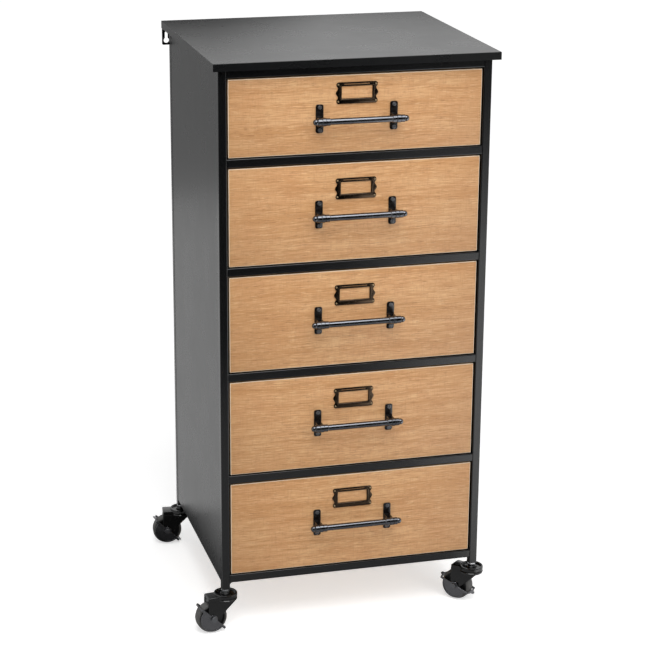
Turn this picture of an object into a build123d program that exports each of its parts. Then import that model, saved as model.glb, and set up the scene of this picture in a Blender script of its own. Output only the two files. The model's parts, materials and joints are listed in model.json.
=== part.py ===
import os
from math import cos, radians, sin

from build123d import *

os.makedirs("parts", exist_ok=True)

# All sizes are millimetres. +Z is up, the drawers face -Y, and the floor is Z = 0.

# Welded frame of square steel tube
frame_width = 430.0
frame_depth = 373.0
tube = 13.0
tube_wall = 1.2
tube_corner = 1.5
foot_drop = 11.0

# Sheet panels set between the posts
sheet = 1.0
panel_inset = 0.5

# Folded top pan
top_height = 12.0
top_sheet = 1.2
top_corner = 1.0
top_edge = 0.8
side_overhang = 10.0
front_overhang = 13.0
rear_overhang = 14.0

# Wall lugs under the rear corners of the top
lug_width = 14.0
lug_drop = 28.0
lug_thickness = 2.0
lug_corner = 2.0
lug_leg = 12.0
keyhole_entry_radius = 4.5
keyhole_slot_radius = 2.5
keyhole_entry_drop = 20.5
keyhole_slot_drop = 8.5

# Drawers
drawer_count = 5
front_height = 153.0
top_front_height = 119.0
front_thickness = 12.0
front_setback = 2.0
front_edge = 0.8
side_gap = 2.5
gap_below = 1.5
gap_above = 2.5
box_board = 10.0
box_bottom = 4.0
box_bottom_lift = 6.0
box_inset = 1.0
box_drop = 25.0
box_rear_gap = 5.0
runner_clearance = 0.3
glue_line = 0.05

# Bar handles
handle_spacing = 117.0
handle_drop = 78.0
top_handle_drop = 65.0
bar_radius = 4.9
bar_standoff = 26.0
bar_end = 2.0
barrel_radius = 6.4
barrel_length = 20.0
plate_width = 12.0
plate_height = 44.0
plate_thickness = 2.0
plate_corner = 3.0
arm_width = 9.0
arm_height = 9.0
handle_screw_pitch = 35.0
handle_screw_radius = 1.5
handle_screw_head_radius = 3.0
handle_screw_head = 1.4
handle_screw_depth = 9.0

# Card label holders
label_width = 66.5
label_height = 33.0
label_drop = 39.5
top_label_drop = 27.5
label_corner = 4.0
label_base = 1.6
label_rim_height = 2.8
label_rim = 3.6
card_margin_share = 0.6
card_pocket = 0.8
card_slot_width = 40.0
card_slot_height = 1.2
window_width = 48.0
window_height = 18.5
window_rise = 1.0
notch_radius = 2.8
notch_spacing = 16.4
pin_inset = 3.6
pin_radius = 0.8
pin_head_radius = 1.7
pin_head = 1.0
pin_depth = 7.0

# Swivel casters with a brake lever
wheel_radius = 25.0
wheel_width = 18.0
wheel_round = 4.0
wheel_hub_radius = 7.5
wheel_hub_proud = 0.5
wheel_rim = 6.0
wheel_recess = 3.0
caster_trail = 25.0
crown_gap = 2.0
crown_thickness = 3.0
crown_back = 14.0
head_radius = 19.0
head_height = 8.7
head_round = 1.5
head_groove = 3.0
head_groove_inner = 8.6
head_groove_outer = 15.5
hood_height = 6.2
leg_thickness = 2.0
leg_boss_radius = 7.5
web_width = 2.8
stem_radius = 4.0
nut_width = 12.0
nut_sides = 6
nut_height = 6.0
rivet_radius = 6.5
rivet_height = 2.5
socket_height = 20.0
axle_radius = 3.0
axle_head_width = 9.0
axle_head_sides = 6
axle_head = 3.0
lever_thickness = 1.5
lever_radius = 21.5
lever_shoulder = 6.0
lever_bridge = 3.0
lever_tongue_width = 8.0
lever_tongue_length = 3.5
lever_tongue_corner = 1.5
lever_open_tilt = 44.0
lever_locked_tilt = 20.0
moving_gap = 0.3
running_clearance = 0.05

# Each caster's trail direction, degrees from +X
front_left_heading = 187.0
front_right_heading = 132.0
rear_left_heading = 360.0 - front_left_heading
rear_right_heading = 180.0 - front_left_heading

# Heights
crown_bottom = 2 * wheel_radius + crown_gap
crown_top = crown_bottom + crown_thickness
head_top = crown_top + head_height
foot_z = head_top + moving_gap + nut_height
base_z = foot_z + foot_drop
front_heights = [front_height] * (drawer_count - 1) + [top_front_height]
rail_z = [base_z]
for height in front_heights:
    rail_z.append(rail_z[-1] + tube + gap_below + height + gap_above)
frame_top = rail_z[-1] + tube

# Plan positions, with the origin midway between the handles' front and the top's rear edge
half_width = frame_width / 2
handle_reach = bar_standoff + barrel_radius - front_setback
front_y = (handle_reach - frame_depth - rear_overhang) / 2
rear_y = front_y + frame_depth
face_y = front_y + front_setback
bar_y = face_y - bar_standoff
middle_y = (front_y + rear_y) / 2
post_x = half_width - tube / 2
post_y = {"front": front_y + tube / 2, "rear": rear_y - tube / 2}
inner_width = frame_width - 2 * tube
inner_depth = frame_depth - 2 * tube
tube_bore = tube - 2 * tube_wall
panel_back = panel_inset + sheet
covered_rail = tube - panel_back
sides = {"left": -1, "right": 1}


def save(piece, name):
    piece.part.label = name
    export_step(piece.part, f"parts/{name}.step")


# Posts, open square tubes from the foot to the underside of the top
for end, y in post_y.items():
    for side, sign in sides.items():
        with BuildPart() as post:
            with BuildSketch(Plane((sign * post_x, y, foot_z))):
                RectangleRounded(tube, tube, tube_corner)
                Rectangle(tube_bore, tube_bore, mode=Mode.SUBTRACT)
            extrude(amount=frame_top - foot_z)
        save(post, f"{end}_{side}_post")

# Front rails between the posts, each level flush with the posts' faces
front_rails = {
    "front_bottom_rail": rail_z[:1],
    "divider_rails": rail_z[1:-1],
    "front_top_rail": rail_z[-1:],
}
for name, levels in front_rails.items():
    with BuildPart() as rail:
        for z in levels:
            rail_end = (-inner_width / 2, post_y["front"], z + tube / 2)
            with BuildSketch(Plane(rail_end, x_dir=(0, 1, 0), z_dir=(1, 0, 0))):
                RectangleRounded(tube, tube, tube_corner)
                Rectangle(tube_bore, tube_bore, mode=Mode.SUBTRACT)
            extrude(amount=inner_width)
    save(rail, name)

# Side rails at the top and bottom, behind the side panels
covered_bore = covered_rail - 2 * tube_wall
frame_levels = [rail_z[0], rail_z[-1]]
for side, sign in sides.items():
    with BuildPart() as side_rails:
        for z in frame_levels:
            rail_end = (sign * (half_width - panel_back - covered_rail / 2), front_y + tube, z + tube / 2)
            with BuildSketch(Plane(rail_end, x_dir=(1, 0, 0), z_dir=(0, 1, 0))):
                Rectangle(covered_rail, tube)
                Rectangle(covered_bore, tube_bore, mode=Mode.SUBTRACT)
            extrude(amount=inner_depth)
    save(side_rails, f"{side}_side_rails")

# Rear rails at the top and bottom, in front of the back panel
rear_rail_y = rear_y - panel_back - covered_rail / 2
with BuildPart() as rear_rails:
    for z in frame_levels:
        rail_end = (-inner_width / 2, rear_rail_y, z + tube / 2)
        with BuildSketch(Plane(rail_end, x_dir=(0, 1, 0), z_dir=(1, 0, 0))):
            Rectangle(covered_rail, tube)
            Rectangle(covered_bore, tube_bore, mode=Mode.SUBTRACT)
        extrude(amount=inner_width)
save(rear_rails, "rear_rails")

# Drawer runners, tubes welded behind each front rail and along the posts' inner faces
for side, sign in sides.items():
    with BuildPart() as runners:
        for z in rail_z[:-1]:
            runner_rear = rear_y - tube if z == base_z else rear_y - panel_back
            runner_end = (sign * (inner_width - tube) / 2, front_y + tube, z + tube / 2)
            with BuildSketch(Plane(runner_end, x_dir=(1, 0, 0), z_dir=(0, 1, 0))):
                Rectangle(tube, tube)
                Rectangle(tube_bore, tube_bore, mode=Mode.SUBTRACT)
            extrude(amount=runner_rear - front_y - tube)
    save(runners, f"{side}_drawer_runners")

# Side and back panels
panel_height = frame_top - base_z
panel_z = (frame_top + base_z) / 2
for side, sign in sides.items():
    with BuildPart() as side_panel:
        with Locations((sign * (half_width - panel_inset - sheet / 2), middle_y, panel_z)):
            Box(sheet, inner_depth, panel_height)
    save(side_panel, f"{side}_side_panel")

with BuildPart() as back_panel:
    with Locations((0, rear_y - panel_inset - sheet / 2, panel_z)):
        Box(inner_width, sheet, panel_height)
save(back_panel, "back_panel")

# Top pan: a flat sheet with a folded lip and a return flange that lies on the frame
top_width = frame_width + 2 * side_overhang
top_depth = frame_depth + front_overhang + rear_overhang
top_y = middle_y + (rear_overhang - front_overhang) / 2
flange = side_overhang + tube
with BuildPart() as top_panel:
    with BuildSketch(Plane((0, top_y, frame_top))):
        RectangleRounded(top_width, top_depth, top_corner)
    extrude(amount=top_height)
    fillet(top_panel.edges().group_by(Axis.Z)[-1], top_edge)
    with BuildSketch(Plane((0, top_y, frame_top + top_sheet))):
        Rectangle(top_width - 2 * top_sheet, top_depth - 2 * top_sheet)
    extrude(amount=top_height - 2 * top_sheet, mode=Mode.SUBTRACT)
    with BuildSketch(Plane((0, top_y, frame_top))):
        Rectangle(top_width - 2 * flange, top_depth - 2 * flange)
    extrude(amount=top_sheet, mode=Mode.SUBTRACT)
save(top_panel, "top_panel")

# Wall lugs: angle brackets under the flange, with a keyhole for a wall screw
lug_y = rear_y + rear_overhang
lug_x = top_width / 2 - top_corner - lug_width / 2
with BuildPart() as wall_lugs:
    for sign in sides.values():
        with BuildSketch(Plane((sign * lug_x, lug_y, frame_top), x_dir=(1, 0, 0), z_dir=(0, -1, 0))):
            Rectangle(lug_width, lug_drop, align=(Align.CENTER, Align.MAX))
            fillet(vertices().group_by(Axis.Y)[0], lug_corner)
            with Locations((0, -keyhole_entry_drop)):
                Circle(keyhole_entry_radius, mode=Mode.SUBTRACT)
                Rectangle(
                    2 * keyhole_slot_radius,
                    keyhole_entry_drop - keyhole_slot_drop,
                    align=(Align.CENTER, Align.MIN),
                    mode=Mode.SUBTRACT,
                )
            with Locations((0, -keyhole_slot_drop)):
                Circle(keyhole_slot_radius, mode=Mode.SUBTRACT)
        extrude(amount=lug_thickness)
        with Locations((sign * lug_x, lug_y - lug_leg / 2, frame_top - lug_thickness / 2)):
            Box(lug_width, lug_leg, lug_thickness)
save(wall_lugs, "wall_lugs")

# Casters: corner position, trail direction and lever tilt of each
casters = {
    "fl": (-post_x, post_y["front"], front_left_heading, lever_open_tilt),
    "fr": (post_x, post_y["front"], front_right_heading, lever_locked_tilt),
    "rl": (-post_x, post_y["rear"], rear_left_heading, lever_open_tilt),
    "rr": (post_x, post_y["rear"], rear_right_heading, lever_open_tilt),
}
stem_bore = stem_radius + running_clearance
axle_bore = axle_radius + running_clearance
leg_inner = wheel_width / 2 + wheel_hub_proud + moving_gap
leg_outer = leg_inner + leg_thickness
lever_inner = leg_outer + moving_gap
lever_outer = lever_inner + lever_thickness
axle_seat = lever_outer + moving_gap
hood_length = caster_trail + leg_boss_radius
crown_length = crown_back + hood_length
crown_middle = (hood_length - crown_back) / 2
bridge_start = wheel_radius + crown_gap
bridge_end = bridge_start + lever_bridge
tongue_length = lever_bridge + lever_tongue_length

# Threaded sockets plugged into the feet of the posts
with BuildPart() as caster_sockets:
    for x, y, heading, lever_tilt in casters.values():
        with BuildSketch(Plane((x, y, foot_z))):
            Rectangle(tube_bore, tube_bore)
            Circle(stem_bore, mode=Mode.SUBTRACT)
        extrude(amount=socket_height)
save(caster_sockets, "caster_sockets")

# Stems: a threaded shank, a nut under the foot, a swivel pin and a rivet under the crown
rivet_top = crown_bottom - moving_gap
with BuildPart() as caster_stems:
    for x, y, heading, lever_tilt in casters.values():
        with BuildSketch(Plane((x, y, rivet_top))):
            Circle(stem_radius)
        extrude(amount=foot_z + socket_height - rivet_top)
        with BuildSketch(Plane((x, y, foot_z))):
            RegularPolygon(nut_width / 2, nut_sides, major_radius=False)
        extrude(amount=-nut_height)
        with BuildSketch(Plane((x, y, rivet_top))):
            Circle(rivet_radius)
        extrude(amount=-rivet_height)
save(caster_stems, "caster_stems")

# Side view of a fork leg: the hull of the crown's end and the axle boss
with BuildSketch() as leg_profile:
    with Locations((crown_middle, (crown_bottom + crown_top) / 2)):
        Rectangle(crown_length, crown_thickness)
    with Locations((caster_trail, wheel_radius)):
        Circle(leg_boss_radius)
    make_hull()

for corner, (x, y, heading, lever_tilt) in casters.items():
    along = Vector(cos(radians(heading)), sin(radians(heading)), 0)
    across = Vector(sin(radians(heading)), -cos(radians(heading)), 0)
    stem = Vector(x, y, 0)
    axle = stem + along * caster_trail + Vector(0, 0, wheel_radius)

    # Fork: swivel head, hooded crown over the wheel, two legs down to the axle and a web between them
    with BuildPart() as fork:
        with BuildSketch(Plane(stem + Vector(0, 0, crown_bottom), x_dir=along)):
            Circle(head_radius)
            with Locations((crown_middle, 0)):
                Rectangle(crown_length, 2 * leg_outer)
        extrude(amount=crown_thickness)
        for leg_start in (-leg_outer, leg_inner):
            with BuildSketch(Plane(stem + across * leg_start, x_dir=along, z_dir=across)):
                add(leg_profile.sketch)
                with Locations((caster_trail, wheel_radius)):
                    Circle(axle_bore, mode=Mode.SUBTRACT)
            extrude(amount=leg_thickness)
        with BuildSketch(Plane(stem - across * leg_inner, x_dir=along, z_dir=across)):
            add(leg_profile.sketch)
            with Locations((web_width, 0)):
                add(leg_profile.sketch, mode=Mode.SUBTRACT)
            with Locations((caster_trail, wheel_radius)):
                Circle(wheel_radius + crown_gap, mode=Mode.SUBTRACT)
        extrude(amount=2 * leg_inner)
        with BuildSketch(Plane(stem + Vector(0, 0, crown_top), x_dir=along)):
            with Locations((hood_length / 2, 0)):
                Rectangle(hood_length, 2 * leg_outer)
        extrude(amount=hood_height)
        with BuildSketch(Plane(stem + Vector(0, 0, crown_top), x_dir=along)):
            Circle(head_radius)
        extrude(amount=head_height)
        fillet(fork.edges().group_by(Axis.Z)[-1], head_round)
        with BuildSketch(Plane(stem + Vector(0, 0, head_top), x_dir=along)):
            Circle(head_groove_outer)
            Circle(head_groove_inner, mode=Mode.SUBTRACT)
        extrude(amount=-head_groove, mode=Mode.SUBTRACT)
        with BuildSketch(Plane(stem + Vector(0, 0, crown_bottom), x_dir=along)):
            Circle(stem_bore)
        extrude(amount=head_top - crown_bottom, mode=Mode.SUBTRACT)
    save(fork, f"caster_{corner}_fork")

    # Wheel: turned section with a rounded tread, recessed faces and a proud hub
    with BuildPart() as wheel:
        with BuildSketch(Plane(axle, x_dir=across, z_dir=along)):
            Rectangle(wheel_width, wheel_radius, align=(Align.CENTER, Align.MIN))
            fillet(vertices().group_by(Axis.Y)[-1], wheel_round)
            for sign in sides.values():
                with Locations((sign * wheel_width / 2, wheel_hub_radius)):
                    Rectangle(
                        2 * wheel_recess,
                        wheel_radius - wheel_rim - wheel_hub_radius,
                        align=(Align.CENTER, Align.MIN),
                        mode=Mode.SUBTRACT,
                    )
            Rectangle(
                wheel_width + 2 * wheel_hub_proud,
                wheel_hub_radius,
                align=(Align.CENTER, Align.MIN),
            )
            Rectangle(
                wheel_width + 2 * wheel_hub_proud,
                axle_bore,
                align=(Align.CENTER, Align.MIN),
                mode=Mode.SUBTRACT,
            )
        revolve(axis=Axis(axle, across))
    save(wheel, f"caster_{corner}_wheel")

    # Axle bolt with a hexagon head at each end
    with BuildPart() as axle_bolt:
        with BuildSketch(Plane(axle - across * axle_seat, x_dir=along, z_dir=across)):
            Circle(axle_radius)
        extrude(amount=2 * axle_seat)
        for sign in sides.values():
            with BuildSketch(Plane(axle + across * (sign * axle_seat), x_dir=along, z_dir=across * sign)):
                RegularPolygon(axle_head_width / 2, axle_head_sides, major_radius=False)
            extrude(amount=axle_head)
    save(axle_bolt, f"caster_{corner}_axle")

    # Brake lever: a cheek on each side, joined past the wheel at each end by a bridge with a foot tongue
    tilt = radians(lever_tilt)
    lever_along = along * cos(tilt) + Vector(0, 0, sin(tilt))
    lever_normal = lever_along.cross(across)
    with BuildPart() as brake:
        for cheek_start in (-lever_outer, lever_inner):
            with BuildSketch(Plane(axle + across * cheek_start, x_dir=lever_along, z_dir=across)):
                Circle(lever_radius)
                with Locations((0, lever_shoulder)):
                    Rectangle(
                        2 * lever_radius,
                        2 * lever_radius,
                        align=(Align.CENTER, Align.MIN),
                        mode=Mode.SUBTRACT,
                    )
                Rectangle(2 * bridge_end, lever_shoulder)
                Circle(axle_bore, mode=Mode.SUBTRACT)
            extrude(amount=lever_thickness)
        bridge_face = axle - lever_normal * (lever_thickness / 2)
        with BuildSketch(Plane(bridge_face, x_dir=lever_along, z_dir=lever_normal)):
            for sign in sides.values():
                with Locations((sign * (bridge_start + bridge_end) / 2, 0)):
                    Rectangle(lever_bridge, 2 * lever_outer)
                with Locations((sign * (bridge_start + tongue_length / 2), 0)):
                    RectangleRounded(tongue_length, lever_tongue_width, lever_tongue_corner)
        extrude(amount=lever_thickness)
    save(brake, f"caster_{corner}_brake")

# Drawers, numbered from the top
front_width = inner_width - 2 * side_gap
box_width = front_width - 2 * box_inset
box_front = face_y + front_thickness + glue_line
box_rear = rear_y - tube - box_rear_gap
box_length = box_rear - box_front
box_back_y = box_rear - box_board / 2
board_gap = box_board + glue_line
box_clear_width = box_width - 2 * board_gap
card_margin = label_rim * card_margin_share
pin_x = label_width / 2 - pin_inset
pin_z = label_height / 2 - pin_inset
screw_bore = handle_screw_radius + running_clearance
pin_bore = pin_radius + running_clearance
bar_bore = bar_radius + running_clearance

for number in range(1, drawer_count + 1):
    level = drawer_count - number
    height = front_heights[level]
    front_low = rail_z[level] + tube + gap_below
    front_top = front_low + height
    handle_z = front_top - (top_handle_drop if number == 1 else handle_drop)
    label_z = front_top - (top_label_drop if number == 1 else label_drop)
    facing = {"x_dir": (1, 0, 0), "z_dir": (0, -1, 0)}
    handle_plane = Plane((0, face_y, handle_z), **facing)
    label_plane = Plane((0, face_y, label_z), **facing)
    screw_places = GridLocations(handle_spacing, handle_screw_pitch, 2, 2)
    pin_places = GridLocations(2 * pin_x, 2 * pin_z, 2, 2)

    # Wooden front with eased edges and pilot holes
    with BuildPart() as front:
        with BuildSketch(Plane((0, face_y, (front_low + front_top) / 2), **facing)):
            Rectangle(front_width, height)
        extrude(amount=-front_thickness)
        fillet(front.faces().sort_by(Axis.Y)[0].edges(), front_edge)
        with BuildSketch(handle_plane):
            with screw_places:
                Circle(screw_bore)
        extrude(amount=-handle_screw_depth, mode=Mode.SUBTRACT)
        with BuildSketch(label_plane):
            with pin_places:
                Circle(pin_bore)
        extrude(amount=-pin_depth, mode=Mode.SUBTRACT)
    save(front, f"drawer_{number}_front")

    # Box of four boards: two sides, a back and a thin bottom
    box_low = rail_z[level] + tube + runner_clearance
    box_height = front_top - box_drop - box_low
    box_middle_y = (box_front + box_rear) / 2
    bottom_rear = box_rear - board_gap
    with BuildPart() as box:
        for sign in sides.values():
            with Locations((sign * (box_width - box_board) / 2, box_middle_y, box_low)):
                Box(box_board, box_length, box_height, align=(Align.CENTER, Align.CENTER, Align.MIN))
        with Locations((0, box_back_y, box_low)):
            Box(box_clear_width, box_board, box_height, align=(Align.CENTER, Align.CENTER, Align.MIN))
        with Locations((0, (box_front + bottom_rear) / 2, box_low + box_bottom_lift)):
            Box(
                box_clear_width,
                bottom_rear - box_front,
                box_bottom,
                align=(Align.CENTER, Align.CENTER, Align.MIN),
            )
    save(box, f"drawer_{number}_box")

    # Handle: a bar with domed ends, carried in the barrels of two brackets
    with BuildPart() as handle:
        for sign in sides.values():
            with BuildSketch(handle_plane):
                with Locations((sign * handle_spacing / 2, 0)):
                    RectangleRounded(plate_width, plate_height, plate_corner)
                    with GridLocations(0, handle_screw_pitch, 1, 2):
                        Circle(screw_bore, mode=Mode.SUBTRACT)
            extrude(amount=plate_thickness)
            with BuildSketch(handle_plane):
                with Locations((sign * handle_spacing / 2, 0)):
                    Rectangle(arm_width, arm_height)
            extrude(amount=bar_standoff)
            barrel_end = (sign * handle_spacing / 2 - barrel_length / 2, bar_y, handle_z)
            barrel_plane = Plane(barrel_end, x_dir=(0, 1, 0), z_dir=(1, 0, 0))
            with BuildSketch(barrel_plane):
                Circle(barrel_radius)
            extrude(amount=barrel_length)
            with BuildSketch(barrel_plane):
                Circle(bar_bore)
            extrude(amount=barrel_length, mode=Mode.SUBTRACT)
        bar_half = (handle_spacing + barrel_length) / 2 + bar_end
        with BuildSketch(Plane((0, bar_y, handle_z))):
            with BuildLine():
                dome_start = (bar_half, bar_radius)
                dome_tip = (bar_half + bar_radius, 0)
                Polyline((0, 0), (0, bar_radius), dome_start)
                RadiusArc(dome_start, dome_tip, bar_radius)
                Line(dome_tip, (0, 0))
            make_face()
            mirror(about=Plane.YZ)
        revolve(axis=Axis((0, bar_y, handle_z), (1, 0, 0)))
    save(handle, f"drawer_{number}_handle")

    # Label holder: scalloped plate with a window, a card slot, a rim on three sides and a card pocket behind
    slot_rise = (window_rise + window_height / 2 + label_height / 2) / 2
    with BuildPart() as label_holder:
        with BuildSketch(label_plane):
            RectangleRounded(label_width, label_height, label_corner)
            with GridLocations(label_width, notch_spacing, 2, 2):
                Circle(notch_radius, mode=Mode.SUBTRACT)
            with pin_places:
                Circle(pin_bore, mode=Mode.SUBTRACT)
        extrude(amount=label_base)
        with BuildSketch(label_plane):
            with Locations((0, window_rise + window_height / 2)):
                Rectangle(
                    window_width + 2 * label_rim,
                    window_height + label_rim,
                    align=(Align.CENTER, Align.MAX),
                )
        extrude(amount=label_rim_height)
        with BuildSketch(label_plane):
            with Locations((0, window_rise)):
                Rectangle(window_width, window_height)
            with Locations((0, slot_rise)):
                Rectangle(card_slot_width, card_slot_height)
        extrude(amount=label_rim_height, mode=Mode.SUBTRACT)
        with BuildSketch(label_plane):
            with Locations((0, window_rise - window_height / 2 - card_margin)):
                Rectangle(
                    window_width + 2 * card_margin,
                    (window_height + label_height) / 2 + card_margin - window_rise,
                    align=(Align.CENTER, Align.MIN),
                )
        extrude(amount=card_pocket, mode=Mode.SUBTRACT)
    save(label_holder, f"drawer_{number}_label_holder")

    # Handle screws and label pins
    with BuildPart() as fasteners:
        with BuildSketch(handle_plane.offset(plate_thickness)):
            with screw_places:
                Circle(handle_screw_head_radius)
        extrude(amount=handle_screw_head)
        with BuildSketch(handle_plane.offset(plate_thickness)):
            with screw_places:
                Circle(handle_screw_radius)
        extrude(amount=-plate_thickness - handle_screw_depth)
        with BuildSketch(label_plane.offset(label_base)):
            with pin_places:
                Circle(pin_head_radius)
        extrude(amount=pin_head)
        with BuildSketch(label_plane.offset(label_base)):
            with pin_places:
                Circle(pin_radius)
        extrude(amount=-label_base - pin_depth)
    save(fasteners, f"drawer_{number}_fasteners")
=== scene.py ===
# Chest of drawers on casters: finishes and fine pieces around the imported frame.
import json
import math

import bmesh
import bpy
from mathutils import Matrix, Vector


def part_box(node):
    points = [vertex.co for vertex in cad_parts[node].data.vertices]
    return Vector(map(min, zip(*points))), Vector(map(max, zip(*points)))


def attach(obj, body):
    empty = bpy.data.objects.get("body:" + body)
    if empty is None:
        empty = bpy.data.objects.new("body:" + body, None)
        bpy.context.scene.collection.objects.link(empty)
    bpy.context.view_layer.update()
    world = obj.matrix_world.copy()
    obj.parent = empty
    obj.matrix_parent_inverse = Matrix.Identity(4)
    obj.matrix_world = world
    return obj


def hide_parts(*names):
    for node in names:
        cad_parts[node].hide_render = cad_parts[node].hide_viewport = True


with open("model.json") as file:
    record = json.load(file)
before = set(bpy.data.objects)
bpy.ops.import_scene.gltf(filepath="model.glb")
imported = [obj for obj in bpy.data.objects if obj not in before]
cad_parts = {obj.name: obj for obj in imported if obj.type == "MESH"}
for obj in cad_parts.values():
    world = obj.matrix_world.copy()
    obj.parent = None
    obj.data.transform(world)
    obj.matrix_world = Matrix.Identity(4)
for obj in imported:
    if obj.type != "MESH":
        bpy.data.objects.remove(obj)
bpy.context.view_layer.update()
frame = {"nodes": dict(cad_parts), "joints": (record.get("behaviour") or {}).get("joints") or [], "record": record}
mm = 0.001
print("frame loaded:", len(frame["nodes"]), "nodes")


def hexColor(code):
    # sRGB hex to linear RGBA
    parts = [int(code[i:i + 2], 16) / 255 for i in (1, 3, 5)]
    return (*[c / 12.92 if c <= 0.04045 else ((c + 0.055) / 1.055) ** 2.4 for c in parts], 1.0)


def addNode(tree, kind, settings=None, links=None):
    # one node, its settings (attributes or sockets) and what feeds it
    node = tree.nodes.new(kind)
    for key, value in (settings or {}).items():
        if isinstance(key, str) and hasattr(node, key):
            setattr(node, key, value)
        else:
            node.inputs[key].default_value = value
    for key, source in (links or {}).items():
        tree.links.new(source, node.inputs[key])
    return node


def newMaterial(name):
    material = bpy.data.materials.new(name)
    material.use_nodes = True
    return material, material.node_tree, material.node_tree.nodes["Principled BSDF"]


# depths of the relief in mm, and the span of the noise that the gloss follows
textureSettings = {"skinDepth": 0.1, "grainDepth": 0.3, "noiseLow": 0.3, "noiseHigh": 0.7}


def coated(name, look):
    # paint, lacquer or plating: two close tones in soft clouds, uneven gloss and a fine skin texture
    material, tree, shader = newMaterial(name)
    spot = addNode(tree, "ShaderNodeTexCoord").outputs["Object"]
    cloud = addNode(tree, "ShaderNodeTexNoise", {"Scale": 1 / (look["cloud"] * mm), "Detail": 4},
                    {"Vector": spot})
    grit = addNode(tree, "ShaderNodeTexNoise", {"Scale": 1 / (look["grit"] * mm), "Detail": 2},
                   {"Vector": spot})
    tone = addNode(tree, "ShaderNodeMix",
                   {"data_type": "RGBA", 6: hexColor(look["color"]), 7: hexColor(look["paler"])},
                   {0: cloud.outputs["Fac"]})
    gloss = addNode(tree, "ShaderNodeMapRange",
                    {"From Min": textureSettings["noiseLow"], "From Max": textureSettings["noiseHigh"],
                     "To Min": look["rough"][0], "To Max": look["rough"][1]},
                    {"Value": cloud.outputs["Fac"]})
    skin = addNode(tree, "ShaderNodeBump",
                   {"Strength": look["skin"], "Distance": textureSettings["skinDepth"] * mm},
                   {"Height": grit.outputs["Fac"]})
    shader.inputs["Metallic"].default_value = look.get("metallic", 0)
    tree.links.new(tone.outputs[2], shader.inputs["Base Color"])
    tree.links.new(gloss.outputs["Result"], shader.inputs["Roughness"])
    tree.links.new(skin.outputs["Normal"], shader.inputs["Normal"])
    return material


def wooden(name, look):
    # brushed softwood: long fibres, slow colour bands, short dark pores and faint saw marks across the grain
    material, tree, shader = newMaterial(name)
    spot = addNode(tree, "ShaderNodeTexCoord").outputs["Object"]
    drift = addNode(tree, "ShaderNodeTexNoise", {"Scale": 1 / (look["swayLength"] * mm), "Detail": 1},
                    {"Vector": spot})
    swayed = addNode(tree, "ShaderNodeVectorMath",
                     {"operation": "MULTIPLY_ADD", 1: (0, 0, look["sway"] * mm)},
                     {0: drift.outputs["Color"], 2: spot}).outputs["Vector"]
    layers = {}
    for layer, (length, width) in look["layers"].items():
        stretch = (1 / (length * mm), 1 / (length * mm), 1 / (width * mm))
        spread = addNode(tree, "ShaderNodeMapping", {"Scale": stretch}, {"Vector": swayed})
        layers[layer] = addNode(tree, "ShaderNodeTexNoise", {"Scale": 1, "Detail": 4, "Roughness": 0.6},
                                {"Vector": spread.outputs["Vector"]}).outputs["Fac"]
    color = None
    for layer, low, high, share, code in look["tints"]:
        amount = addNode(tree, "ShaderNodeMapRange", {"From Min": low, "From Max": high, "To Max": share},
                         {"Value": layers[layer]})
        tint = addNode(tree, "ShaderNodeMix",
                       {"data_type": "RGBA", 6: hexColor(look["color"]), 7: hexColor(code)},
                       {0: amount.outputs["Result"]})
        if color:
            tree.links.new(color, tint.inputs[6])
        color = tint.outputs[2]
    if look["ends"]:
        # painted shade: the colour darkens towards the board's left and right ends
        start, stop, share, code = look["ends"]
        across = addNode(tree, "ShaderNodeSeparateXYZ", None, {"Vector": spot}).outputs["X"]
        away = addNode(tree, "ShaderNodeMath", {"operation": "ABSOLUTE"}, {0: across}).outputs["Value"]
        paintedEndShade = addNode(tree, "ShaderNodeMapRange",
                       {"From Min": start * mm, "From Max": stop * mm, "To Max": share},
                       {"Value": away})
        color = addNode(tree, "ShaderNodeMix", {"data_type": "RGBA", 7: hexColor(code)},
                        {0: paintedEndShade.outputs["Result"], 6: color}).outputs[2]
    sanded = addNode(tree, "ShaderNodeAttribute", {"attribute_name": "sanded"})
    eased = addNode(tree, "ShaderNodeMix", {"data_type": "RGBA", 7: hexColor(look["edge"])},
                    {0: sanded.outputs["Fac"], 6: color})
    gloss = addNode(tree, "ShaderNodeMapRange", {"To Min": look["rough"][0], "To Max": look["rough"][1]},
                    {"Value": layers["fibre"]})
    ridges = addNode(tree, "ShaderNodeMath", {"operation": "ADD"}, {0: layers["fibre"], 1: layers["saw"]})
    relief = addNode(tree, "ShaderNodeBump",
                     {"Strength": look["relief"], "Distance": textureSettings["grainDepth"] * mm},
                     {"Height": ridges.outputs["Value"]})
    tree.links.new(eased.outputs[2], shader.inputs["Base Color"])
    tree.links.new(gloss.outputs["Result"], shader.inputs["Roughness"])
    tree.links.new(relief.outputs["Normal"], shader.inputs["Normal"])
    return material


# baked epoxy powder on mild steel: satin black, faintly pebbled
blackPowder = {
    "color": "#090a0b", "paler": "#0b0c0d", "cloud": 60, "grit": 1.2,
    "rough": (0.21, 0.24), "skin": 0.06,
}
# the same powder on the wide sheets, a little flatter
sheetPowder = dict(blackPowder, rough=(0.265, 0.29))
# black nickel over turned steel: dark and smooth, with a bluish shine
handleNickel = {
    "color": "#57595d", "paler": "#6a6b6f", "cloud": 15, "grit": 0.8,
    "rough": (0.15, 0.21), "skin": 0.02, "metallic": 1.0,
}
# brown-black lacquer on the straps that carry the bars
strapLacquer = {
    "color": "#0d0a09", "paler": "#130f0d", "cloud": 9, "grit": 0.8,
    "rough": (0.19, 0.24), "skin": 0.04,
}
# blackened screw heads, rubbed brighter by the driver
blackenedSteel = {
    "color": "#5a5b5e", "paler": "#77787b", "cloud": 1.5, "grit": 0.6,
    "rough": (0.28, 0.4), "skin": 0.05, "metallic": 0.8,
}
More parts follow.
